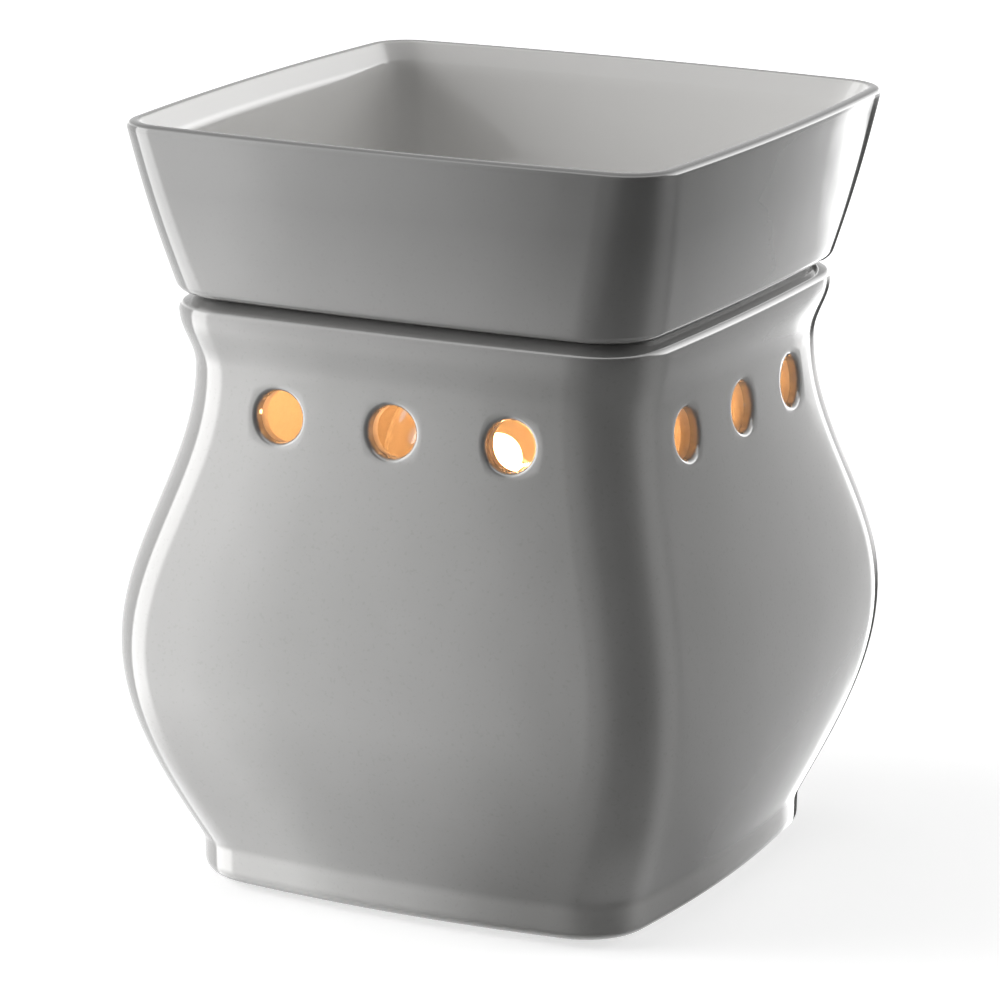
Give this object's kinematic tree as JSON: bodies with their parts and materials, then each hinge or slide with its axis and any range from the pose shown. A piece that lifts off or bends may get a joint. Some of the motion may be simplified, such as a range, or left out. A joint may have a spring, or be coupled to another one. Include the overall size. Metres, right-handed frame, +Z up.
{
  "type": "wax melt warmer",
  "caption": "Square glazed ceramic lamp body with a waist, a lift-off wax dish on top, round light holes and a screw-in bulb that heats the dish.",
  "frame": {"origin": "on the table, under the middle of the ceramic body", "axes": "+Z up, -Y out of the front, the cord's grommet is in the back wall on the +Y side"},
  "size_m": [0.1212, 0.1212, 0.1524],
  "materials": {
    "grey_glaze": "high-gloss grey glaze with a pewter lustre",
    "zinc_steel": "bright zinc plate",
    "black_rubber": "moulded, matt",
    "white_nylon": "moulded, satin",
    "black_phenolic": "compression moulded, semi-gloss",
    "brass": "drawn, bright",
    "lead_sleeve": "extruded sleeve, satin",
    "clear_glass": "blown, clear",
    "nickel_cap": "drawn, bright",
    "black_glass": "fired, opaque",
    "solder": "dull tin solder",
    "tungsten": "glowing wire"
  },
  "bodies": {
    "housing": {"body_shell": "grey_glaze", "base_plate": "zinc_steel", "foot_front_left": "black_rubber", "foot_front_right": "black_rubber", "foot_rear_left": "black_rubber", "foot_rear_right": "black_rubber", "base_screws": "zinc_steel", "floor_nuts": "white_nylon", "cord_grommet": "black_rubber", "threaded_stem": "zinc_steel", "stem_nut_lower": "zinc_steel", "stem_nut_upper": "zinc_steel", "lock_washer": "zinc_steel", "holder_bracket": "zinc_steel", "bracket_rivets": "brass", "lamp_holder": "black_phenolic", "screw_shell": "brass", "centre_contact": "brass", "lead_left": "lead_sleeve", "lead_right": "lead_sleeve", "crimp_cap_left": "white_nylon", "crimp_cap_right": "white_nylon"},
    "dish": {"wax_dish": "grey_glaze"},
    "bulb_tip": {"bulb_contact": "solder"},
    "bulb": {"bulb_glass": "clear_glass", "bulb_cap": "nickel_cap", "bulb_insulator": "black_glass", "bulb_stem": "clear_glass", "bulb_wire_left": "solder", "bulb_wire_right": "solder", "filament_supports": "tungsten", "filament": "tungsten"}
  },
  "joints": [
    {"name": "dish_lift", "type": "slide", "parent": "housing", "child": "dish", "axis": [0, 0, 1], "range_m": [0, 0.05]},
    {"name": "bulb_rise", "type": "slide", "parent": "housing", "child": "bulb_tip", "axis": [0, 0, 1], "range_m": [0, 0.0102]},
    {"name": "bulb_turn", "type": "hinge", "parent": "bulb_tip", "child": "bulb", "pos_m": [0, 0, 0.08], "axis": [0, 0, 1], "range_deg": [0, 1440]}
  ],
  "couplings": [
    {"joint": "bulb_rise", "follows": "bulb_turn", "m_per_rad": 0.00040425}
  ]
}
